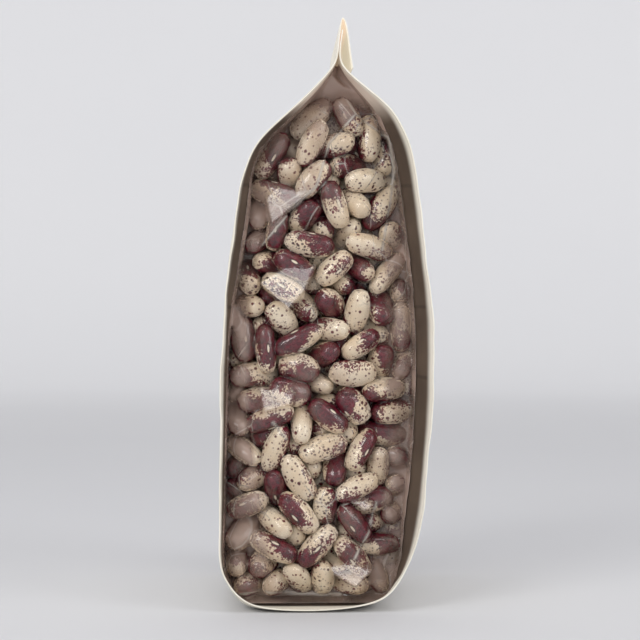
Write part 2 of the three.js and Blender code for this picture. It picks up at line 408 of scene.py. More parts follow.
SIDES = {NEAR: ("beans_near", 186, 3), FAR: ("beans_far", 186, 8)}
STEPS = 320
packed = {side: settle(side, count, seed, STEPS) for side, (_, count, seed) in SIDES.items()}

# %% [markdown]
# The copies are put together from arrays: every bean's points are scaled, turned and moved, and
# joined into one mesh. Two attributes go with them: the place on the bean, so that the markings sit
# on the bean and not in the air, and three random numbers, so that no two beans are marked alike.
# Five balls are only nearly a bean, so a bean that would touch the paper is moved back from it.

# %% Join the beans of a side into one mesh
BEAN_GAP = 0.25
MARKS_SEED = 100


def joined_beans(name, sizes, turns, centres, seed):
    """One mesh of all the beans of a side, with the attributes that its material reads."""
    draw = np.random.default_rng(seed + MARKS_SEED)
    count = len(sizes)
    local = bean_points[None] * sizes[:, None]
    middle = (BALLS * BALL_REACH) ** 2 * BEAN_BEND / (2 * BEAN_LENGTH)
    local = local - np.array([0, 0, middle.mean()])
    points = centres[:, None] + turned(turns, local)
    for side, face in ((-1, left_face), (1, right_face)):
        past = side * (points[..., 0] - face(points[..., 1], points[..., 2])) + BEAN_GAP
        points[..., 0] -= side * np.maximum(past.max(axis=1), 0)[:, None]
        print(name, "moved back from a face by up to", round(past.max(), 2), "mm")
    points[..., 2] += np.maximum(FLOOR_Z - points[..., 2].min(axis=1), 0)[:, None]
    faces = bean_faces[None] + np.arange(count)[:, None, None] * len(bean_points)
    mesh = bpy.data.meshes.new(name)
    mesh.from_pydata(points.reshape(-1, 3) * MM, [], faces.reshape(-1, 4).tolist())
    add_attribute(mesh, "place", np.tile(bean_points, (count, 1)))
    add_attribute(mesh, "draw", np.repeat(draw.uniform(size=(count, 3)), len(bean_points), axis=0))
    piece = bpy.data.objects.new(name, mesh)
    bpy.context.scene.collection.objects.link(piece)
    only(piece)
    bpy.ops.object.shade_smooth()
    return piece


beans = {}
for side, (name, count, seed) in SIDES.items():
    beans[side] = joined_beans(name, *packed[side], seed)
    top = packed[side][2][:, 2].max()
    print(name, count, "beans up to", round(top, 1), "mm,", len(beans[side].data.polygons), "faces")

# %% [markdown]
# ## The dark middle
#
# Between the outer beans one looks into the shade of the beans behind them. More beans there would
# cost much and show little, so a rough dark core stands for them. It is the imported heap, melted
# into one skin by a voxel Remesh and drawn back from the film.

# %% Make the core of the heap
CORE_VOXEL = 2.4
CORE_DEPTH = 26.0
CORE_NARROW = 0.96
CORE_TOP = 146.0
CORE_BOTTOM = 1.2


def copy_of(node, name):
    """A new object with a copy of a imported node's mesh."""
    piece = bpy.data.objects.new(name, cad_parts[node].data.copy())
    bpy.context.scene.collection.objects.link(piece)
    return only(piece)


core = copy_of("bean_heap", "bean_core")
apply_modifier(core, "REMESH", mode="VOXEL", voxel_size=CORE_VOXEL * MM)
apply_modifier(core, "SMOOTH", factor=0.6, iterations=4)
points = points_of(core.data)
points[:, 0] *= CORE_NARROW
points[:, 1] *= CORE_DEPTH / np.abs(points[:, 1]).max()
points[:, 2] = np.clip(points[:, 2], CORE_BOTTOM, CORE_TOP)
set_points(core.data, points)
bpy.ops.object.shade_smooth()
print("core:", len(core.data.polygons), "faces")

# %% [markdown]
# ## Camera and lights
#
# These come before the film, because the film's glints depend on them. Three soft lights stand
# around the pack: two in front, so that the film mirrors them, and a larger one above. The turn
# that makes each of them face the middle of the pack comes from to_track_quat.

# %% Place the lights
PACK_MIDDLE = Vector((0, 0, 0.09))


def softbox(name, place, size, power):
    """A soft rectangular light that faces the middle of the pack. Sizes are in metres."""
    light = bpy.data.lights.new(name, "AREA")
    light.shape = "RECTANGLE"
    light.size, light.size_y = size
    light.energy = power
    lamp = bpy.data.objects.new(name, light)
    lamp.location = place
    way = PACK_MIDDLE - lamp.location
    lamp.rotation_euler = way.to_track_quat("-Z", "Y").to_euler()
    bpy.context.scene.collection.objects.link(lamp)
    return lamp


left_light = softbox("left_softbox", (-0.62, -0.95, 0.75), (0.5, 0.6), 5.2)
softbox("right_softbox", (0.95, -0.75, 0.6), (0.5, 0.8), 3.2)
softbox("top_softbox", (0.0, -0.1, 1.3), (0.9, 0.9), 5.5)
print("left light", round((PACK_MIDDLE - left_light.location).length, 2), "m from the pack")

# %% [markdown]
# The photo was taken from straight in front of a clear side, about 60 cm away and a little above
# half height. The lens follows from the distance and from the width that the photo takes in.

# %% Place the camera
NEAR_RIM = -45.0
CAMERA_DISTANCE = 600.0
CAMERA_TURN = math.radians(-1.5)
CAMERA_HEIGHT = 92.0
VIEW_WIDTH = 192.0
VIEW_X = -2.1
VIEW_Z = 88.0
SENSOR = 36.0
NEAREST = 0.01

lens = bpy.data.cameras.new("camera")
camera = bpy.data.objects.new("camera", lens)
bpy.context.scene.collection.objects.link(camera)
target = Vector((VIEW_X, NEAR_RIM, VIEW_Z))
back = Vector((math.sin(CAMERA_TURN), -math.cos(CAMERA_TURN), 0)) * CAMERA_DISTANCE
camera.location = (target + back + Vector((0, 0, CAMERA_HEIGHT - VIEW_Z))) * MM
camera.rotation_euler = (target * MM - camera.location).to_track_quat("-Z", "Y").to_euler()
lens.sensor_width = SENSOR
lens.lens = SENSOR * CAMERA_DISTANCE / VIEW_WIDTH
lens.clip_start = NEAREST
bpy.context.scene.camera = camera
bpy.context.scene.view_settings.view_transform = "Standard"
print("camera at", [round(v, 3) for v in camera.location], "lens", round(lens.lens, 1), "mm")

# %% [markdown]
# ## The film
#
# Clear film pulled over beans touches only the beans that stand out furthest, and lies flat from
# one to the next. That is what a convex hull is, so the hull of the beans and of the two seams
# gives the film its flat facets with creases between them. A grid is laid over it: each of its
# points is sent out until it meets the hull, but never below a bean. At the top the film folds
# inwards between the two paper faces.


# %% A grid, a hull and an even surface
def tall_grid(name, across, up):
    """A grid of one unit's size, and its points' places along both of its sides from 0 to 1."""
    bpy.ops.object.select_all(action="DESELECT")
    bpy.ops.mesh.primitive_grid_add(x_subdivisions=across, y_subdivisions=up, size=1)
    piece = bpy.context.object
    piece.name = name
    places = points_of(piece.data) * MM + 0.5
    return piece, places[:, 0], places[:, 1]


def hull_tree(points):
    """A search tree of the convex hull of some points."""
    hull = bmesh.new()
    for point in points:
        hull.verts.new(Vector(point) * MM)
    bmesh.ops.convex_hull(hull, input=hull.verts)
    tree = BVHTree.FromBMesh(hull)
    hull.free()
    return tree


def smoothed(heights, rounds):
    """Evens out a grid of heights, but keeps its border."""
    for _ in range(rounds):
        inner = heights[1:-1, 1:-1]
        around = heights[2:, 1:-1] + heights[:-2, 1:-1] + heights[1:-1, 2:] + heights[1:-1, :-2]
        heights = heights.copy()
        heights[1:-1, 1:-1] = 0.5 * inner + 0.125 * around
    return heights


spike = np.zeros((5, 5))
spike[2, 2] = 1
print("a spike evened out once:", smoothed(spike, 1)[2])

# %% [markdown]
# The photo shows where the film is pulled flat, and where it is creased. A few of those places are
# named here by their pixels: small facets that mirror the left light, the two borders of the flat
# front panel, and the sharpest creases. One pixel is 0.3 mm at the near rim.

# %% Name the places of facets and creases
PHOTO_PIXEL = 0.3
PHOTO_X0 = 327.0
PHOTO_Z0 = 614.0
FACETS = [
    [(255, 283), (280, 268), (318, 264), (308, 290), (288, 314)],
    [(225, 300), (238, 306), (246, 325), (232, 336)],
    [(256, 386), (298, 392), (292, 408), (262, 416)],
    [(264, 196), (280, 184), (314, 192), (270, 228)],
    [(325, 569), (352, 564), (376, 572), (356, 592), (333, 580)],
    [(347, 504), (364, 501), (378, 506), (366, 516)],
]
PANEL_LEFT = [
    (357, 112), (330, 142), (317, 186), (290, 212), (262, 245), (250, 320), (250, 420), (262, 500),
    (272, 560), (290, 600),
]
PANEL_RIGHT = [
    (357, 112), (391, 136), (397, 170), (392, 205), (384, 250), (386, 330), (386, 420), (384, 500),
    (380, 550), (360, 600),
]
CREASES = [
    PANEL_LEFT[:5], PANEL_RIGHT[:5], [(357, 112), (346, 94)], [(273, 424), (287, 441)],
    [(378, 507), (371, 535), (356, 562)], [(232, 178), (243, 160)], [(300, 352), (318, 345)],
    [(240, 600), (262, 597), (300, 601), (342, 602)],
]
CREASE_WIDTH = 0.36


def photo_place(pixel):
    """The X and Z in millimetres of a pixel of the photo, at the near rim."""
    return (pixel[0] - PHOTO_X0) * PHOTO_PIXEL, (PHOTO_Z0 - pixel[1]) * PHOTO_PIXEL


def beside_panel(x, z):
    """How far a point lies outside the front panel of the film, in millimetres."""
    left = np.array([photo_place(pixel) for pixel in PANEL_LEFT[::-1]])
    right = np.array([photo_place(pixel) for pixel in PANEL_RIGHT[::-1]])
    past_left = np.interp(z, left[:, 1], left[:, 0]) - x
    past_right = x - np.interp(z, right[:, 1], right[:, 0])
    return np.maximum(np.maximum(past_left, past_right), z - left[-1, 1])


def crease_line(pixels, x, z):
    """1 on a line of pixels, and falling to 0 on both sides of it."""
    line = [np.array(photo_place(pixel)) for pixel in pixels]
    points = np.stack([x, z], axis=1)
    near = np.full(len(x), np.inf)
    for start, end in zip(line, line[1:]):
        way = end - start
        share = np.clip((points - start) @ way / (way @ way), 0, 1)
        near = np.minimum(near, np.linalg.norm(points - start - share[:, None] * way, axis=1))
    return np.exp(-((near / CREASE_WIDTH) ** 2))


print("the panel's top is at", np.round(photo_place(PANEL_LEFT[0]), 1), "mm")

# %% [markdown]
# A flat facet looks bright when it mirrors a light to the camera. Its normal then halves the angle
# between the two, so the slope of each facet follows from where they stand. The facet is lifted
# until it just clears the beans under it.

# %% Tilt a facet towards the left light
FACET_DEPTH = 40.0
FILM_OVER_BEAN = 0.15


def add_facet(pixels, light, out, under, x, z):
    """Tilts the film inside a polygon so that it mirrors a light to the camera."""
    corners = np.array([photo_place(pixel) for pixel in pixels])
    middle = corners.mean(axis=0)
    spot = Vector((middle[0], -FACET_DEPTH, middle[1])) * MM
    mirror = (camera.location - spot).normalized() + (light.location - spot).normalized()
    slope = np.array([mirror.x, mirror.z]) / mirror.y
    inside = np.ones(len(x), bool)
    for start, end in zip(corners, np.roll(corners, -1, axis=0)):
        side = (end[0] - start[0]) * (z - start[1]) - (end[1] - start[1]) * (x - start[0])
        inside &= side < 0
    plane = slope[0] * (x - middle[0]) + slope[1] * (z - middle[1])
    lift = np.max((under - plane)[inside]) + FILM_OVER_BEAN
    out[inside] = (plane + lift)[inside]


print("facets:", len(FACETS), "creases:", len(CREASES))

# %% [markdown]
# The grid's outer columns are the lap, where the film is sealed to the inside of the paper. From
# its seams the film spans the beans: two rays for each point give the taut hull and the bean under
# it. How far the film stands off the beans, how far beside the front panel and how near to a crease
# a point lies go into attributes, because the film looks hazier or whiter there.

# %% Drape the film over the beans
FILM_GRID = (130, 340)
FILM_BOTTOM = 1.4
FILM_TOP = 165.6
FILM_THICK = 0.05
FILM_SMOOTHING = 1
FILM_SLACK = 0.6
WALL_X = 30
LAP_SHARE = 0.03
LAP_WIDTH = 2.4
LAP_GAP = 0.12
SEAM_EVERY = 3
ONE_COLUMN = 1.01 / FILM_GRID[0]
TIPS_FROM = 30
INSIDE_START, OUTSIDE_START = 20, 70
CREASE_HEIGHT = 0.4


def seamed_film(facing, s, z):
    """The X of the film's points, how far out its edge lies, and its lap along the paper."""
    lap = np.clip(1 - np.minimum(s, 1 - s) / LAP_SHARE, 0, 1) * LAP_WIDTH
    across = np.clip((s - LAP_SHARE) / (1 - 2 * LAP_SHARE), 0, 1)
    left_out, right_out = (film_at[facing](x + 0 * z, z) for x in (-WALL_X, WALL_X))
    left = left_face(facing * (left_out + lap), z) + LAP_GAP
    right = right_face(facing * (right_out + lap), z) - LAP_GAP
    return left + across * (right - left), np.where(s < 0.5, left_out, right_out), lap


def taut_and_under(facing, x, z, edge, seams):
    """How far out the taut film and the beans lie, for each point of the film."""
    tips = points_of(beans[facing].data)
    hull = hull_tree(np.vstack([tips[facing * tips[:, 1] > TIPS_FROM], seams]))
    bean_tree = tree_of(beans[facing].data)
    taut, under = [], []
    for px, pz in zip(x, z):
        hit = ray(hull, (px, facing * INSIDE_START, pz), (0, facing, 0))
        taut.append(np.nan if hit is None else facing * hit[1])
        hit = ray(bean_tree, (px, facing * OUTSIDE_START, pz), (0, -facing, 0))
        under.append(0 if hit is None else max(0, facing * hit[1]))
    return np.where(np.isnan(taut), edge, taut), np.array(under)


def draped_film(facing):
    """The film of one side, with the attributes that its material reads."""
    piece, s, t = tall_grid("film_" + SIDES[facing][0][6:] + "_fine", *FILM_GRID)
    z = FILM_BOTTOM + t * (FILM_TOP - FILM_BOTTOM)
    x, edge, lap = seamed_film(facing, s, z)
    first_free = (lap == 0) & (np.minimum(s, 1 - s) < LAP_SHARE + ONE_COLUMN)
    seams = [(x[k], facing * edge[k], z[k]) for k in np.nonzero(first_free)[0][::SEAM_EVERY]]
    taut, under = taut_and_under(facing, x, z, edge, seams)
    out = np.minimum(taut, film_limit(facing, x, z) + FILM_SLACK)
    for pixels in FACETS:
        add_facet(pixels, left_light, out, under, x, z)
    fold = np.max([crease_line(pixels, x, z) for pixels in CREASES], axis=0)
    out += CREASE_HEIGHT * fold
    order = np.lexsort((s, t))
    shape = FILM_GRID[1] + 1, FILM_GRID[0] + 1
    out[order] = smoothed(out[order].reshape(shape), FILM_SMOOTHING).ravel()
    out = np.maximum(out, under + FILM_OVER_BEAN)
    out = np.where(lap > 0, edge + lap, out)
    set_points(piece.data, np.stack([x, facing * out, z], axis=1))
    add_attribute(piece.data, "standoff", out - under)
    add_attribute(piece.data, "beside", beside_panel(x, z))
    add_attribute(piece.data, "fold", fold)
    apply_modifier(piece, "SOLIDIFY", thickness=FILM_THICK * MM, offset=-1.0)
    bpy.ops.object.mode_set(mode="EDIT")
    bpy.ops.mesh.select_all(action="SELECT")
    bpy.ops.mesh.normals_make_consistent(inside=False)
    bpy.ops.object.mode_set(mode="OBJECT")
    bpy.ops.object.shade_smooth()
    return piece


films = {side: draped_film(side) for side in SIDES}
print("film:", [len(piece.data.polygons) for piece in films.values()], "faces")

# %% [markdown]
# The two layers of beans were kept apart so far, because each film lies on its own layer. They are
# one kind of thing, so now they become one piece. Join keeps the attributes of both.

# %% Join the two layers of beans
only(beans[NEAR])
beans[FAR].select_set(True)
bpy.ops.object.join()
all_beans = bpy.context.object
all_beans.name = "loose_beans"
print("beans of both sides:", len(all_beans.data.polygons), "faces")

# %% [markdown]
# ## The paper
#
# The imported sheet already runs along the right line. Here its flat triangles are joined into four
# sided faces, its rims are creased so that they stay sharp, and a Subdivision Surface rounds the
# rest.

# %% Refine the paper sheet
RIM_ANGLE = math.radians(50)
FLAT_ANGLE = math.radians(30)
SKEW_ANGLE = math.radians(60)
PAPER_LEVELS = 2

paper = copy_of("paper_wrap", "paper_sheet")
bpy.ops.object.mode_set(mode="EDIT")
bpy.ops.mesh.select_all(action="SELECT")
bpy.ops.mesh.remove_doubles(threshold=1e-6)
bpy.ops.mesh.tris_convert_to_quads(face_threshold=FLAT_ANGLE, shape_threshold=SKEW_ANGLE)
bpy.ops.mesh.select_mode(type="EDGE")
bpy.ops.mesh.select_all(action="DESELECT")
bpy.ops.mesh.edges_select_sharp(sharpness=RIM_ANGLE)
bpy.ops.transform.edge_crease(value=1.0)
bpy.ops.object.mode_set(mode="OBJECT")
apply_modifier(paper, "SUBSURF", levels=PAPER_LEVELS)
print("paper:", len(paper.data.polygons), "faces")

# %% [markdown]
# The free rims of real paper are never quite straight, so three slight waves of different length
# are added to them. They die out towards the film, the base and the fold.

# %% Wave the free rims
RIM_WAVES = ((0.3, 67.0), (0.18, 29.0), (0.08, 11.0))
RIM_FROM = 38.0
RIM_TO = 45.0
WAVE_LOW, WAVE_LOW_FADE = 12, 20
WAVE_HIGH, WAVE_HIGH_FADE = 150, 30
SIDE_SHIFT, FACING_SHIFT = 1.3, 0.7

points = points_of(paper.data)
side, facing = np.sign(points[:, 0] - NECK_X), np.sign(points[:, 1])
free = np.clip((np.abs(points[:, 1]) - RIM_FROM) / (RIM_TO - RIM_FROM), 0, 1) ** 2
upright = np.clip((points[:, 2] - WAVE_LOW) / WAVE_LOW_FADE, 0, 1)
upright = upright * np.clip((WAVE_HIGH - points[:, 2]) / WAVE_HIGH_FADE, 0, 1)
shift = SIDE_SHIFT * side + FACING_SHIFT * facing
for number, (height, length) in enumerate(RIM_WAVES):
    turn = 2 * math.pi * points[:, 2] / length + (number + 1) * shift
    points[:, 0] += height * free * upright * np.sin(turn)
set_points(paper.data, points)
print("the waves add up to", sum(height for height, _ in RIM_WAVES), "mm at most")

# %% [markdown]
# The sheet's inside and outside get different materials, so its faces have to be told apart. A
# direction can't do that on a sheet that folds back on itself. Instead each face passes its number
# on to its neighbours, but never across a sharp rim, which leaves one number for each skin.


# %% Number the paper's skins
def skins_of(piece):
    """A number for each face, the same for all that hang together without a sharp rim between."""
    sheet = bmesh.new()
    sheet.from_mesh(piece.data)
    sheet.faces.ensure_lookup_table()
    skin = np.full(len(sheet.faces), -1)
    skins = 0
    for first in sheet.faces:
        if skin[first.index] >= 0:
            continue
        front = [first]
        skin[first.index] = skins
        while front:
            face = front.pop()
            for edge in face.edges:
                if edge.calc_face_angle(0) > RIM_ANGLE:
                    continue
                for other in edge.link_faces:
                    if skin[other.index] < 0:
                        skin[other.index] = skins
                        front.append(other)
        skins += 1
    sheet.free()
    return skin


skins = skins_of(paper)
print("skins of", sorted(np.bincount(skins))[::-1][:8], "faces")

# %% [markdown]
# ## Materials
#
# Shader maths reads best as sums. A small class wraps a socket, so that adding or multiplying two
# of them adds the Math node for it, and one method makes every other node.


# %% Write shader maths as expressions
class Value:
    """A socket that can be used in sums. Each operator adds one Math node."""

    def __init__(self, maker, socket):
        self.maker = maker
        self.socket = socket

    def math(self, operation, *others):
        sockets = {0: self} | dict(enumerate(others, 1))
        return self.maker.value("ShaderNodeMath", {"operation": operation}, sockets)

    def __add__(self, other):
        return self.math("ADD", other)

    def __sub__(self, other):
        return self.math("SUBTRACT", other)

    def __mul__(self, other):
        return self.math("MULTIPLY", other)

    def __rsub__(self, other):
        return (self * -1) + other

    __radd__ = __add__
    __rmul__ = __mul__

    def ramp(self, low, high):
        """0 at low, 1 at high, and smooth between them. low may be above high."""
        settings = {"interpolation_type": "SMOOTHSTEP"}
        sockets = {"Value": self, "From Min": low, "From Max": high}
        if low > high:
            sockets = {"Value": self * -1, "From Min": -low, "From Max": -high}
        return self.maker.value("ShaderNodeMapRange", settings, sockets)


class Maker:
    """Makes the nodes of one material."""

    def __init__(self, name):
        self.material = bpy.data.materials.new(name)
        self.material.use_nodes = True
        self.tree = self.material.node_tree
        self.tree.nodes.clear()

    def node(self, kind, settings=None, sockets=None):
        """Any node, by its type, its settings and the values or links of its sockets."""
        node = self.tree.nodes.new(kind)
        for name, value in (settings or {}).items():
            setattr(node, name, value)
        for key, value in (sockets or {}).items():
            value = value.socket if isinstance(value, Value) else value
            if isinstance(value, bpy.types.NodeSocket):
                self.tree.links.new(value, node.inputs[key])
            else:
                node.inputs[key].default_value = value
        return node

    def value(self, kind, settings=None, sockets=None, output=0):
        """One output of a new node."""
        return Value(self, self.node(kind, settings, sockets).outputs[output])

    def noise(self, vector, scale, detail=2.0, roughness=0.5):
        sockets = {"Vector": vector, "Scale": scale, "Detail": detail, "Roughness": roughness}
        return self.value("ShaderNodeTexNoise", {}, sockets)

    def mix(self, amount, low, high):
        """A colour between two colours."""
        sockets = {0: amount, 6: low, 7: high}
        return self.value("ShaderNodeMix", {"data_type": "RGBA"}, sockets, output=2)

    def separate(self, vector):
        node = self.node("ShaderNodeSeparateXYZ", {}, {0: vector})
        return [Value(self, socket) for socket in node.outputs]

    def moved(self, vector, other, operation="ADD"):
        """A vector moved or stretched by another one."""
        return self.value("ShaderNodeVectorMath", {"operation": operation}, {0: vector, 1: other})

    def attribute(self, name, output="Fac"):
        return self.value("ShaderNodeAttribute", {"attribute_name": name}, output=output)

    def where(self):
        """The place in the object, in metres."""
        return self.value("ShaderNodeTexCoord", output="Object")

    def bump(self, strength, distance, height):
        sockets = {"Strength": strength, "Distance": distance, "Height": height}
        return self.value("ShaderNodeBump", {}, sockets)

    def skin(self, colour, roughness, **others):
        """The usual surface. Other sockets are named with _ for each space."""
        sockets = {"Base Color": colour, "Roughness": roughness}
        sockets |= {name.replace("_", " "): value for name, value in others.items()}
        return self.value("ShaderNodeBsdfPrincipled", {}, sockets)

    def finish(self, shader):
        self.node("ShaderNodeOutputMaterial", {}, {"Surface": shader})
        return self.material


def rgb(red, green, blue):
    """A colour read off a screen, from 0 to 255, as Blender's linear light."""
    share = [v / 255 for v in (red, green, blue)]
    return (*(v / 12.92 if v <= 0.04045 else ((v + 0.055) / 1.055) ** 2.4 for v in share), 1.0)


print("a mid grey of the screen, as light:", round(rgb(128, 128, 128)[0], 3))

# %% [markdown]
# The bean's skin is cream. A maroon patch spreads from the hollow side with a ragged edge, and each
# bean has its own share of it, from nearly none to nearly all. Painting each bean would take
# hundreds of pictures. Here the marks are functions of the place on the bean, shifted by the
# bean's three random numbers, so one material marks every bean in its own way.

# %% Spread the maroon patch
m = Maker("bean_skin")
place = m.attribute("place", output="Vector")
chance = m.attribute("draw", output="Vector")
along, thin, hollow = m.separate(place)
more, end, tilt = m.separate(chance)
shifted = m.moved(place, m.moved(chance, (90.0, 90.0, 90.0), "MULTIPLY"))
cloud = m.noise(shifted, 0.16, 1.0) - 0.5
ragged = m.noise(shifted, 0.6, 4.0, 0.65) - 0.5
grain = m.noise(shifted, 1.9, 2.0, 0.6) - 0.5
reach = (
    hollow * 0.2
    + (end - 0.5) * along * 0.3
    + (tilt - 0.5) * thin * 0.3
    + cloud * 1.9
    + ragged * 1.5
    + grain * 1.5
    + (more - 0.62) * 1.5
)
patch = reach.ramp(-0.03, 0.05)
print("the patch takes", len(m.tree.nodes), "nodes")

# %% [markdown]
# Small dark dots lie on the cream, more of them near the patch. A Voronoi texture has one point in
# each of its cells, and the distance to it makes a round dot. The cell's own colour is a random
# number, which sets the dot's size, or that it has none.


# %% Scatter dots and mix the colours
def specks(scale, largest, share, speckled):
    """Round dark dots of many sizes. share moves how many cells have one."""
    sockets = {"Vector": shifted, "Scale": scale}
    cells = m.node("ShaderNodeTexVoronoi", {"voronoi_dimensions": "3D"}, sockets)
    own = m.separate(Value(m, cells.outputs["Color"]))[0]
    far = Value(m, cells.outputs["Distance"]) + grain * 0.22
    return (far - (own - share) * largest).ramp(0.04, -0.04) * speckled


near_patch = reach.ramp(-0.9, -0.1)
dots = specks(0.62, 0.52, 0.25, 1.0)
dots = dots.math("MAXIMUM", specks(0.95, 0.6, 0.35, 0.9))
dots = dots.math("MAXIMUM", specks(1.3, 0.8, 0.22, near_patch))

cream = m.mix((cloud + 0.5).ramp(0.3, 0.7), rgb(232, 212, 184), rgb(244, 230, 208))
cream = m.mix((ragged + 0.5).ramp(0.45, 0.8) * 0.35, cream, rgb(216, 186, 150))
maroon = m.mix((ragged + grain * 0.5 + 0.5).ramp(0.3, 0.75), rgb(50, 9, 21), rgb(120, 17, 42))
dark_dot = m.mix(tilt, rgb(112, 42, 42), rgb(66, 24, 28))
skin = m.mix(dots, cream, dark_dot)
skin = m.mix(patch, skin, maroon)
print("with dots and colours:", len(m.tree.nodes), "nodes")

# %% [markdown]
# The scar in the hollow, where the bean hung in its pod, is a pale slit with a dark rim. It is an
# oval distance from the middle of the hollow side. The skin is dry and smooth, so its shine is low
# and a little uneven.

# %% Add the scar and finish the bean skin
from_slit = (along * along * 0.34 + thin * thin * 3.4).math("SQRT")
in_hollow = hollow.ramp(1.5, 2.2)
rim = from_slit.ramp(1.25, 0.95) * in_hollow
slit = from_slit.ramp(0.75, 0.55) * in_hollow
skin = m.mix(rim * (patch * 0.6 + 0.2), skin, rgb(50, 18, 22))
skin = m.mix(slit, skin, rgb(236, 226, 206))

bump = m.bump(0.25, 0.0004, ragged + grain * 0.4 - slit)
shell = m.skin(skin, 0.46 + ragged * 0.2, Normal=bump, Specular_IOR_Level=0.4)
all_beans.data.materials.append(m.finish(shell))
print("bean skin:", len(m.tree.nodes), "nodes")

# %% [markdown]
# The core is only seen through gaps, in the shade. Its dark browns are painted shade, darker than
# any bean's own colour, for the beans deep in the heap. Blotches of two browns make it read as more
# beans, where one flat colour would read as a wall.

# %% Make the dark core
m = Maker("shaded_beans")
blotch = m.noise(m.where(), 160.0, 2.0)
# Painted shade: two browns darker than any bean.
painted_shade_browns = m.mix(blotch.ramp(0.4, 0.6), rgb(38, 22, 20), rgb(84, 56, 44))
core.data.materials.append(m.finish(m.skin(painted_shade_browns, 0.7)))
print("core:", len(m.tree.nodes), "nodes")

# %% [markdown]
# The paper is one sheet with a cream outside and a brown inside. Its skins get one of two
# materials: the rims and the outside are cream, and the inner skin is brown. That brown is partly
# the paper's own colour and partly painted shade, darker than the paper, for the deep shade beside
# the beans. A narrow lip near the rim is painted cream as painted light, where light comes in, and
# the inside is painted paler at the neck and at the top of the fold, as painted light against the
# shade there. Both have a fine fibre grain and a few soft creases as bumps, and three cross creases
# inside are painted darker as painted shade. Paper lets some light through, which shows where both
# of its sides stand free, at the neck and in the fold. Real translucency needs many samples to look
# smooth, so a faint emission of those parts of the inner skin stands for it.

# %% Make the paper's two materials
LIP_FROM = 0.0412
LIP_TO = 0.0443
BASE_LIP = 0.009
THIN_LIP = 0.0022
CREASE_SHADE_HEIGHTS = (0.129, 0.092, 0.071)
BLACK = (0.0, 0.0, 0.0, 1.0)


def inner_look(m, where, blot, wave, cream):
    """The inside's colour with painted shade and painted light, and the light through it."""
    x, y, z = m.separate(where)
    # Brown: partly the paper's own colour, and darkened further as painted shade beside the beans.
    brown = m.mix(blot.ramp(0.3, 0.7), rgb(78, 63, 51), rgb(96, 80, 66))
    # Painted light: a cream band near the rim where light comes in, wider on the base and narrower
    # at the upper left.
    left_top = x.ramp(-0.005, -0.012) * z.ramp(0.080, 0.098)
    reach = y.math("ABSOLUTE") + z.ramp(0.012, 0.003) * BASE_LIP - left_top * THIN_LIP
    lit_lip = reach.ramp(LIP_FROM, LIP_TO)
    # Painted shade: darker lines along three cross creases.
    for crease_z in CREASE_SHADE_HEIGHTS:
        near = (z + wave * 0.004 - crease_z - 0.002).math("ABSOLUTE").ramp(0.0009, 0.0002)
        brown = m.mix(near * 0.6, brown, rgb(58, 46, 36))
    # Painted light: the inside turns pale at the neck and cream at the top of the fold, which stand
    # in deep shade.
    neck = z.ramp(0.147, 0.157)
    brown = m.mix(neck, brown, rgb(226, 210, 194))
    tone = m.mix(lit_lip.math("MAXIMUM", z.ramp(0.160, 0.166)), brown, cream)
    flap = (x + z * 0.149).ramp(0.0310, 0.0316)
    folded = z.ramp(0.169, 0.174).math("MAXIMUM", flap * z.ramp(0.1622, 0.1628))
    glow = m.mix(neck, BLACK, rgb(74, 66, 59))
    return tone, m.mix(folded, glow, m.mix(flap, rgb(110, 82, 68), rgb(134, 131, 124)))


def paper_material(name, inside):
    """The paper's outside or inside: one grain and relief, and its own colour."""
    m = Maker(name)
    where = m.where()
    fibre = m.noise(m.moved(where, (900.0, 900.0, 260.0), "MULTIPLY"), 1.0, 3.0, 0.6)
    blot = m.noise(where, 55.0, 3.0, 0.55)
    wave = m.noise(m.moved(where, (30.0, 30.0, 55.0), "MULTIPLY"), 1.0, 1.0)
    cream = m.mix(blot.ramp(0.35, 0.7), rgb(238, 232, 216), rgb(246, 241, 228))
    cream = m.mix(fibre.ramp(0.55, 0.8) * 0.4, cream, rgb(222, 212, 190))
    tone, glow = inner_look(m, where, blot, wave, cream) if inside else (cream, BLACK)
    bump = m.bump(0.35, 0.0006, fibre * 0.04 + blot * 0.35 + wave * 1.3)
    glowing = {"Emission_Color": glow, "Emission_Strength": 1.0 if inside else 0.0}
    return m.finish(m.skin(tone, 0.72 + fibre * 0.15, Normal=bump, **glowing))


paper.data.materials.clear()
for name, inside in (("paper_outside", False), ("paper_inside", True)):
    paper.data.materials.append(paper_material(name, inside))
print("paper's materials:", [material.name for material in paper.data.materials])

# %% [markdown]
# The two largest skins are the outside and the inside. In the left panel the inside is the one
# whose faces look to the right. The flap is cut off from it by the sharp fold, and the side of the
# flap that looks to the left belongs to the inside too. The rims are marked sharp, because smooth
# shading would blur the step from one side of the sheet to the other.

# %% Give each skin its material
FLAP_BOTTOM = 160.0
PANEL_X = -10
PANEL_FROM, PANEL_TO = 40, 100
LOOKS_LEFT = -0.5

largest = np.argsort(np.bincount(skins))[-2:]
normals = np.array([p.normal[:] for p in paper.data.polygons])
middles = np.array([p.center[:] for p in paper.data.polygons]) / MM
left_panel = (middles[:, 0] < PANEL_X) & (middles[:, 2] > PANEL_FROM) & (middles[:, 2] < PANEL_TO)
outward = [normals[left_panel & (skins == k), 0].mean() for k in largest]
inner_skins = [largest[int(np.argmax(outward))]]
flaps = [k for k in range(skins.max() + 1) if middles[skins == k, 2].min() > FLAP_BOTTOM]
inner_skins += [k for k in flaps if normals[skins == k, 0].mean() < LOOKS_LEFT]
for face, which in zip(paper.data.polygons, skins):
    face.material_index = int(which in inner_skins)
    face.use_smooth = True
only(paper)
bpy.ops.object.mode_set(mode="EDIT")
bpy.ops.mesh.select_mode(type="EDGE")
bpy.ops.mesh.select_all(action="DESELECT")
bpy.ops.mesh.edges_select_sharp(sharpness=RIM_ANGLE)
bpy.ops.mesh.mark_sharp()
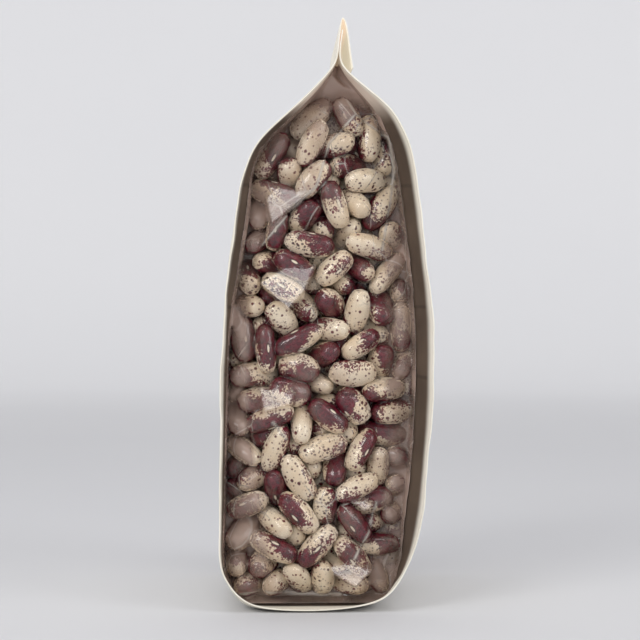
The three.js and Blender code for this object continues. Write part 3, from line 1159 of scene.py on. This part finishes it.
bpy.ops.object.mode_set(mode="OBJECT")
print("inner skin:", int(np.isin(skins, inner_skins).sum()), "faces in", len(inner_skins), "parts")

# %% [markdown]
# Film shows itself by what it reflects and by a faint haze. Glass would bend light and need many
# samples. Here a Transparent shader lets the beans through, and a rough pale one adds the haze:
# where the film stands off the beans, beside the front panel, in clouds, and at the neck.

# %% Make the film's haze
m = Maker("clear_film")
where = m.where()
standoff = m.attribute("standoff")
beside = m.attribute("beside")
crinkle = m.noise(m.moved(where, (150.0, 60.0, 90.0), "MULTIPLY"), 1.0, 2.0, 0.5)
bump = m.bump(0.3, 0.0008, crinkle)
cloudy = m.noise(where, 60.0, 2.0)
patchy = cloudy.ramp(0.36, 0.66) * 0.44 + 0.06
haze = standoff.ramp(0.8, 7.0) * 0.1 + beside.ramp(-0.6, 2.5) * patchy + 0.01
haze = haze + cloudy.ramp(0.5, 0.78) * 0.17 + m.separate(where)[2].ramp(0.150, 0.158) * 0.5
clear = m.value("ShaderNodeBsdfTransparent", {}, {"Color": (0.97, 0.965, 0.955, 1.0)})
dusty = m.skin(rgb(188, 163, 149), 0.5, Normal=bump)
body = m.value("ShaderNodeMixShader", {}, {0: haze, 1: clear, 2: dusty})
print("haze:", len(m.tree.nodes), "nodes")

# %% [markdown]
# Crumpled film shows pale lines: the sharp creases that were laid into its shape, and a net of
# fine ones. Their paleness is partly the whitening of creased film and partly painted highlights
# along the crease edges. The borders between the cells of a Voronoi texture are such a net, and a
# noise lets only some of them show. Over all of it lies a mirror, stronger at a glancing view.
# Multiplying the glance by itself keeps it weak until the view is almost along the film.

# %% Add creases and shine to the film
fold = m.attribute("fold")
# Pale crease lines: partly the whitening of creased film, partly painted highlights on crease
# edges.
whitening_and_sheen_skin = m.skin(rgb(216, 208, 198), 0.4)
stretched = m.moved(where, (1.0, 0.35, 0.6), "MULTIPLY")
border = m.value("ShaderNodeTexVoronoi", {"feature": "DISTANCE_TO_EDGE"}, {0: stretched, 2: 95.0})
some = m.noise(where, 48.0, 1.0).ramp(0.5, 0.64)
net = border.ramp(0.022, 0.0) * some * 0.34
whitening_and_sheen = (fold * (cloudy * 0.8 + 0.1)).math("MAXIMUM", net)
body = m.value("ShaderNodeMixShader", {}, {0: whitening_and_sheen, 1: body, 2: whitening_and_sheen_skin})
glance = m.value("ShaderNodeLayerWeight", {}, {"Blend": 0.5}, output="Facing")
shine = glance * glance * glance * glance * 0.6 + 0.022
gloss = {"Color": (1, 1, 1, 1), "Roughness": 0.08, "Normal": bump}
mirror = m.value("ShaderNodeBsdfGlossy", {}, gloss)
film_look = m.finish(m.value("ShaderNodeMixShader", {}, {0: shine, 1: body, 2: mirror}))
for piece in films.values():
    piece.data.materials.append(film_look)
print("film:", len(m.tree.nodes), "nodes")

# %% [markdown]
# ## Stage
#
# The pack stands on a pale floor that turns up into a pale wall all round, so there is no corner
# behind it from any side. A round floor is made first. Its rim is then drawn outwards and upwards
# in steps along a quarter circle, and at last straight up for the wall.

# %% Make the floor
FLAT_RADIUS = 1.6
RIM_INSET = 0.1
TURN_RADIUS = 1.2
WALL_HEIGHT = 2.6
TURN_STEPS = 16
FLOOR_SIDES = 128

bpy.ops.object.select_all(action="DESELECT")
bpy.ops.mesh.primitive_circle_add(vertices=FLOOR_SIDES, radius=FLAT_RADIUS, fill_type="NGON")
floor = bpy.context.object
floor.name = "floor"
bpy.ops.object.mode_set(mode="EDIT")
bpy.ops.mesh.select_all(action="SELECT")
bpy.ops.mesh.inset(thickness=RIM_INSET)
bpy.ops.mesh.select_all(action="DESELECT")
bpy.ops.mesh.select_mode(type="EDGE")
bpy.ops.mesh.select_non_manifold(extend=False)
radius, height = FLAT_RADIUS, 0.0
for step in range(1, TURN_STEPS + 1):
    turn = 0.5 * math.pi * step / TURN_STEPS
    wider = FLAT_RADIUS + TURN_RADIUS * math.sin(turn)
    higher = TURN_RADIUS * (1 - math.cos(turn))
    bpy.ops.mesh.extrude_region_move(TRANSFORM_OT_translate={"value": (0, 0, higher - height)})
    bpy.ops.transform.resize(value=(wider / radius, wider / radius, 1))
    radius, height = wider, higher
bpy.ops.mesh.extrude_region_move(TRANSFORM_OT_translate={"value": (0, 0, WALL_HEIGHT - height)})
bpy.ops.mesh.select_all(action="SELECT")
bpy.ops.mesh.normals_make_consistent(inside=True)
bpy.ops.object.mode_set(mode="OBJECT")
bpy.ops.object.shade_smooth()
print("floor and wall:", len(floor.data.polygons), "faces")

# %% [markdown]
# The floor is lit by the same lights as the pack. Far from them it would turn dark, so a faint
# emission that grows with the distance keeps the wall as pale as the photo's backdrop.

# %% Make the floor's material and the world
FLOOR_GLOW = 0.46
WORLD_LIGHT = 0.42

m = Maker("pale_floor")
where = m.where()
tone = m.mix(m.noise(where, 3.0), rgb(208, 208, 211), rgb(212, 212, 214))
x, y, z = m.separate(where)
risen = (x * x + y * y + z * z).math("SQRT").ramp(0.1, 2.6)
glow = m.mix(risen, BLACK, rgb(219, 219, 220))
pale = m.skin(tone, 0.7, Emission_Color=glow, Emission_Strength=FLOOR_GLOW)
floor.data.materials.append(m.finish(pale))

world = bpy.data.worlds.new("studio")
bpy.context.scene.world = world
world.use_nodes = True
background = world.node_tree.nodes["Background"]
background.inputs["Color"].default_value = rgb(235, 235, 236)
background.inputs["Strength"].default_value = WORLD_LIGHT
print("world strength:", WORLD_LIGHT)

# %% [markdown]
# ## Last step
#
# Every piece rides on the pack's one body, and the imported solid that it replaces is hidden. The
# core replaces nothing, because the beans already stand for the heap.

# %% Attach the pieces and finish
for piece in (all_beans, core):
    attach(piece, "root")
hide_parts("bean_heap")
for side, node in ((NEAR, "film_near"), (FAR, "film_far")):
    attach(films[side], "root")
    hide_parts(node)
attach(paper, "root")
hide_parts("paper_wrap")

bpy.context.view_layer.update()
